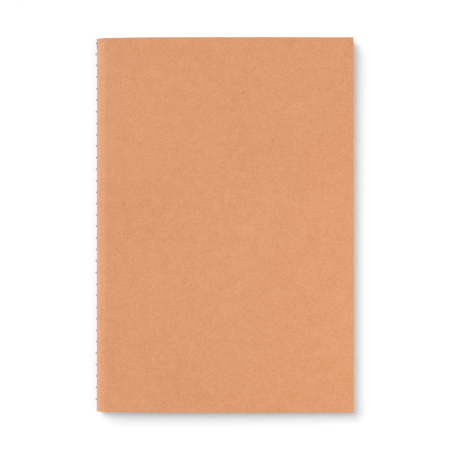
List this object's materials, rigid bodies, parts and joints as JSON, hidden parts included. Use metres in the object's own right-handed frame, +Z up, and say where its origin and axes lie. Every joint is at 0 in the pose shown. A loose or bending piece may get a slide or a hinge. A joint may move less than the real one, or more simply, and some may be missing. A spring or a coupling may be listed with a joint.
{
  "type": "sketchbook",
  "caption": "Soft-cover sketchbook: blank nested sheets in a folded kraft card cover, machine sewn through the fold, cover and leaves that open flat.",
  "frame": {"origin": "centre of the back cover's flat outer face, with the book closed and lying on it", "axes": "+Z up out of the closed book through the front cover, +Y along the spine towards the head, +X from the spine towards the fore-edge"},
  "size_m": [0.1446, 0.21, 0.007],
  "materials": {
    "kraft_cover": "matte",
    "page_paper": "matte",
    "sewing_thread": "matte"
  },
  "bodies": {
    "back_cover": {"cover_back": "kraft_cover"},
    "spine": {"cover_spine": "kraft_cover", "sheet_01_fold": "page_paper", "sheet_02_fold": "page_paper", "sheet_03_fold": "page_paper", "sheet_04_fold": "page_paper", "sheet_05_fold": "page_paper", "sheet_06_fold": "page_paper", "sheet_07_fold": "page_paper", "sheet_08_fold": "page_paper", "sheet_09_fold": "page_paper", "sheet_10_fold": "page_paper", "sheet_11_fold": "page_paper", "sheet_12_fold": "page_paper", "sheet_13_fold": "page_paper", "sheet_14_fold": "page_paper", "sheet_15_fold": "page_paper", "sheet_16_fold": "page_paper", "outer_thread": "sewing_thread", "inner_thread": "sewing_thread"},
    "front_cover": {"cover_front": "kraft_cover"},
    "sheet_01_front": {"sheet_01_front_leaf": "page_paper"},
    "sheet_01_back": {"sheet_01_back_leaf": "page_paper"},
    "sheet_02_front": {"sheet_02_front_leaf": "page_paper"},
    "sheet_02_back": {"sheet_02_back_leaf": "page_paper"},
    "sheet_03_front": {"sheet_03_front_leaf": "page_paper"},
    "sheet_03_back": {"sheet_03_back_leaf": "page_paper"},
    "sheet_04_front": {"sheet_04_front_leaf": "page_paper"},
    "sheet_04_back": {"sheet_04_back_leaf": "page_paper"},
    "sheet_05_front": {"sheet_05_front_leaf": "page_paper"},
    "sheet_05_back": {"sheet_05_back_leaf": "page_paper"},
    "sheet_06_front": {"sheet_06_front_leaf": "page_paper"},
    "sheet_06_back": {"sheet_06_back_leaf": "page_paper"},
    "sheet_07_front": {"sheet_07_front_leaf": "page_paper"},
    "sheet_07_back": {"sheet_07_back_leaf": "page_paper"},
    "sheet_08_front": {"sheet_08_front_leaf": "page_paper"},
    "sheet_08_back": {"sheet_08_back_leaf": "page_paper"},
    "sheet_09_front": {"sheet_09_front_leaf": "page_paper"},
    "sheet_09_back": {"sheet_09_back_leaf": "page_paper"},
    "sheet_10_front": {"sheet_10_front_leaf": "page_paper"},
    "sheet_10_back": {"sheet_10_back_leaf": "page_paper"},
    "sheet_11_front": {"sheet_11_front_leaf": "page_paper"},
    "sheet_11_back": {"sheet_11_back_leaf": "page_paper"},
    "sheet_12_front": {"sheet_12_front_leaf": "page_paper"},
    "sheet_12_back": {"sheet_12_back_leaf": "page_paper"},
    "sheet_13_front": {"sheet_13_front_leaf": "page_paper"},
    "sheet_13_back": {"sheet_13_back_leaf": "page_paper"},
    "sheet_14_front": {"sheet_14_front_leaf": "page_paper"},
    "sheet_14_back": {"sheet_14_back_leaf": "page_paper"},
    "sheet_15_front": {"sheet_15_front_leaf": "page_paper"},
    "sheet_15_back": {"sheet_15_back_leaf": "page_paper"},
    "sheet_16_front": {"sheet_16_front_leaf": "page_paper"},
    "sheet_16_back": {"sheet_16_back_leaf": "page_paper"}
  },
  "joints": [
    {"name": "book_open", "type": "hinge", "parent": "back_cover", "child": "spine", "pos_m": [-0.07442, 0, 0.00137], "axis": [0, -1, 0], "range_deg": [0, 90], "deforming": ["cover_spine"]},
    {"name": "front_cover_turn", "type": "hinge", "parent": "spine", "child": "front_cover", "pos_m": [-0.07442, 0, 0.00567], "axis": [0, -1, 0], "range_deg": [0, 90]},
    {"name": "sheet_01_front_turn", "type": "hinge", "parent": "spine", "child": "sheet_01_front", "pos_m": [-0.06993, 0, 0.00383], "axis": [0, -1, 0], "range_deg": [0, 86], "deforming": ["sheet_01_fold"]},
    {"name": "sheet_01_back_turn", "type": "hinge", "parent": "spine", "child": "sheet_01_back", "pos_m": [-0.06993, 0, 0.00321], "axis": [0, 1, 0], "range_deg": [0, 86]},
    {"name": "sheet_02_front_turn", "type": "hinge", "parent": "spine", "child": "sheet_02_front", "pos_m": [-0.07018, 0, 0.00396], "axis": [0, -1, 0], "range_deg": [0, 86.25], "deforming": ["sheet_02_fold"]},
    {"name": "sheet_02_back_turn", "type": "hinge", "parent": "spine", "child": "sheet_02_back", "pos_m": [-0.07018, 0, 0.00308], "axis": [0, 1, 0], "range_deg": [0, 86.25]},
    {"name": "sheet_03_front_turn", "type": "hinge", "parent": "spine", "child": "sheet_03_front", "pos_m": [-0.07043, 0, 0.00409], "axis": [0, -1, 0], "range_deg": [0, 86.5], "deforming": ["sheet_03_fold"]},
    {"name": "sheet_03_back_turn", "type": "hinge", "parent": "spine", "child": "sheet_03_back", "pos_m": [-0.07043, 0, 0.00295], "axis": [0, 1, 0], "range_deg": [0, 86.5]},
    {"name": "sheet_04_front_turn", "type": "hinge", "parent": "spine", "child": "sheet_04_front", "pos_m": [-0.07068, 0, 0.00423], "axis": [0, -1, 0], "range_deg": [0, 86.75], "deforming": ["sheet_04_fold"]},
    {"name": "sheet_04_back_turn", "type": "hinge", "parent": "spine", "child": "sheet_04_back", "pos_m": [-0.07068, 0, 0.00281], "axis": [0, 1, 0], "range_deg": [0, 86.75]},
    {"name": "sheet_05_front_turn", "type": "hinge", "parent": "spine", "child": "sheet_05_front", "pos_m": [-0.07093, 0, 0.00436], "axis": [0, -1, 0], "range_deg": [0, 87], "deforming": ["sheet_05_fold"]},
    {"name": "sheet_05_back_turn", "type": "hinge", "parent": "spine", "child": "sheet_05_back", "pos_m": [-0.07093, 0, 0.00268], "axis": [0, 1, 0], "range_deg": [0, 87]},
    {"name": "sheet_06_front_turn", "type": "hinge", "parent": "spine", "child": "sheet_06_front", "pos_m": [-0.07118, 0, 0.00449], "axis": [0, -1, 0], "range_deg": [0, 87.25], "deforming": ["sheet_06_fold"]},
    {"name": "sheet_06_back_turn", "type": "hinge", "parent": "spine", "child": "sheet_06_back", "pos_m": [-0.07118, 0, 0.00255], "axis": [0, 1, 0], "range_deg": [0, 87.25]},
    {"name": "sheet_07_front_turn", "type": "hinge", "parent": "spine", "child": "sheet_07_front", "pos_m": [-0.07143, 0, 0.00462], "axis": [0, -1, 0], "range_deg": [0, 87.5], "deforming": ["sheet_07_fold"]},
    {"name": "sheet_07_back_turn", "type": "hinge", "parent": "spine", "child": "sheet_07_back", "pos_m": [-0.07143, 0, 0.00242], "axis": [0, 1, 0], "range_deg": [0, 87.5]},
    {"name": "sheet_08_front_turn", "type": "hinge", "parent": "spine", "child": "sheet_08_front", "pos_m": [-0.07167, 0, 0.00475], "axis": [0, -1, 0], "range_deg": [0, 87.75], "deforming": ["sheet_08_fold"]},
    {"name": "sheet_08_back_turn", "type": "hinge", "parent": "spine", "child": "sheet_08_back", "pos_m": [-0.07167, 0, 0.00229], "axis": [0, 1, 0], "range_deg": [0, 87.75]},
    {"name": "sheet_09_front_turn", "type": "hinge", "parent": "spine", "child": "sheet_09_front", "pos_m": [-0.07192, 0, 0.00488], "axis": [0, -1, 0], "range_deg": [0, 88], "deforming": ["sheet_09_fold"]},
    {"name": "sheet_09_back_turn", "type": "hinge", "parent": "spine", "child": "sheet_09_back", "pos_m": [-0.07192, 0, 0.00216], "axis": [0, 1, 0], "range_deg": [0, 88]},
    {"name": "sheet_10_front_turn", "type": "hinge", "parent": "spine", "child": "sheet_10_front", "pos_m": [-0.07217, 0, 0.00502], "axis": [0, -1, 0], "range_deg": [0, 88.25], "deforming": ["sheet_10_fold"]},
    {"name": "sheet_10_back_turn", "type": "hinge", "parent": "spine", "child": "sheet_10_back", "pos_m": [-0.07217, 0, 0.00202], "axis": [0, 1, 0], "range_deg": [0, 88.25]},
    {"name": "sheet_11_front_turn", "type": "hinge", "parent": "spine", "child": "sheet_11_front", "pos_m": [-0.07242, 0, 0.00515], "axis": [0, -1, 0], "range_deg": [0, 88.5], "deforming": ["sheet_11_fold"]},
    {"name": "sheet_11_back_turn", "type": "hinge", "parent": "spine", "child": "sheet_11_back", "pos_m": [-0.07242, 0, 0.00189], "axis": [0, 1, 0], "range_deg": [0, 88.5]},
    {"name": "sheet_12_front_turn", "type": "hinge", "parent": "spine", "child": "sheet_12_front", "pos_m": [-0.07267, 0, 0.00528], "axis": [0, -1, 0], "range_deg": [0, 88.75], "deforming": ["sheet_12_fold"]},
    {"name": "sheet_12_back_turn", "type": "hinge", "parent": "spine", "child": "sheet_12_back", "pos_m": [-0.07267, 0, 0.00176], "axis": [0, 1, 0], "range_deg": [0, 88.75]},
    {"name": "sheet_13_front_turn", "type": "hinge", "parent": "spine", "child": "sheet_13_front", "pos_m": [-0.07292, 0, 0.00541], "axis": [0, -1, 0], "range_deg": [0, 89], "deforming": ["sheet_13_fold"]},
    {"name": "sheet_13_back_turn", "type": "hinge", "parent": "spine", "child": "sheet_13_back", "pos_m": [-0.07292, 0, 0.00163], "axis": [0, 1, 0], "range_deg": [0, 89]},
    {"name": "sheet_14_front_turn", "type": "hinge", "parent": "spine", "child": "sheet_14_front", "pos_m": [-0.07317, 0, 0.00554], "axis": [0, -1, 0], "range_deg": [0, 89.25], "deforming": ["sheet_14_fold"]},
    {"name": "sheet_14_back_turn", "type": "hinge", "parent": "spine", "child": "sheet_14_back", "pos_m": [-0.07317, 0, 0.0015], "axis": [0, 1, 0], "range_deg": [0, 89.25]},
    {"name": "sheet_15_front_turn", "type": "hinge", "parent": "spine", "child": "sheet_15_front", "pos_m": [-0.07341, 0, 0.00567], "axis": [0, -1, 0], "range_deg": [0, 89.5], "deforming": ["sheet_15_fold"]},
    {"name": "sheet_15_back_turn", "type": "hinge", "parent": "spine", "child": "sheet_15_back", "pos_m": [-0.07341, 0, 0.00137], "axis": [0, 1, 0], "range_deg": [0, 89.5]},
    {"name": "sheet_16_front_turn", "type": "hinge", "parent": "spine", "child": "sheet_16_front", "pos_m": [-0.07366, 0, 0.00581], "axis": [0, -1, 0], "range_deg": [0, 89.75], "deforming": ["sheet_16_fold"]},
    {"name": "sheet_16_back_turn", "type": "hinge", "parent": "spine", "child": "sheet_16_back", "pos_m": [-0.07366, 0, 0.00123], "axis": [0, 1, 0], "range_deg": [0, 89.75]}
  ],
  "couplings": [
    {"joint": "front_cover_turn", "follows": "book_open", "ratio": 1},
    {"joint": "sheet_01_front_turn", "follows": "book_open", "ratio": 0.95556},
    {"joint": "sheet_01_back_turn", "follows": "book_open", "ratio": 0.95556},
    {"joint": "sheet_02_front_turn", "follows": "book_open", "ratio": 0.95833},
    {"joint": "sheet_02_back_turn", "follows": "book_open", "ratio": 0.95833},
    {"joint": "sheet_03_front_turn", "follows": "book_open", "ratio": 0.96111},
    {"joint": "sheet_03_back_turn", "follows": "book_open", "ratio": 0.96111},
    {"joint": "sheet_04_front_turn", "follows": "book_open", "ratio": 0.96389},
    {"joint": "sheet_04_back_turn", "follows": "book_open", "ratio": 0.96389},
    {"joint": "sheet_05_front_turn", "follows": "book_open", "ratio": 0.96667},
    {"joint": "sheet_05_back_turn", "follows": "book_open", "ratio": 0.96667},
    {"joint": "sheet_06_front_turn", "follows": "book_open", "ratio": 0.96944},
    {"joint": "sheet_06_back_turn", "follows": "book_open", "ratio": 0.96944},
    {"joint": "sheet_07_front_turn", "follows": "book_open", "ratio": 0.97222},
    {"joint": "sheet_07_back_turn", "follows": "book_open", "ratio": 0.97222},
    {"joint": "sheet_08_front_turn", "follows": "book_open", "ratio": 0.975},
    {"joint": "sheet_08_back_turn", "follows": "book_open", "ratio": 0.975},
    {"joint": "sheet_09_front_turn", "follows": "book_open", "ratio": 0.97778},
    {"joint": "sheet_09_back_turn", "follows": "book_open", "ratio": 0.97778},
    {"joint": "sheet_10_front_turn", "follows": "book_open", "ratio": 0.98056},
    {"joint": "sheet_10_back_turn", "follows": "book_open", "ratio": 0.98056},
    {"joint": "sheet_11_front_turn", "follows": "book_open", "ratio": 0.98333},
    {"joint": "sheet_11_back_turn", "follows": "book_open", "ratio": 0.98333},
    {"joint": "sheet_12_front_turn", "follows": "book_open", "ratio": 0.98611},
    {"joint": "sheet_12_back_turn", "follows": "book_open", "ratio": 0.98611},
    {"joint": "sheet_13_front_turn", "follows": "book_open", "ratio": 0.98889},
    {"joint": "sheet_13_back_turn", "follows": "book_open", "ratio": 0.98889},
    {"joint": "sheet_14_front_turn", "follows": "book_open", "ratio": 0.99167},
    {"joint": "sheet_14_back_turn", "follows": "book_open", "ratio": 0.99167},
    {"joint": "sheet_15_front_turn", "follows": "book_open", "ratio": 0.99444},
    {"joint": "sheet_15_back_turn", "follows": "book_open", "ratio": 0.99444},
    {"joint": "sheet_16_front_turn", "follows": "book_open", "ratio": 0.99722},
    {"joint": "sheet_16_back_turn", "follows": "book_open", "ratio": 0.99722}
  ]
}
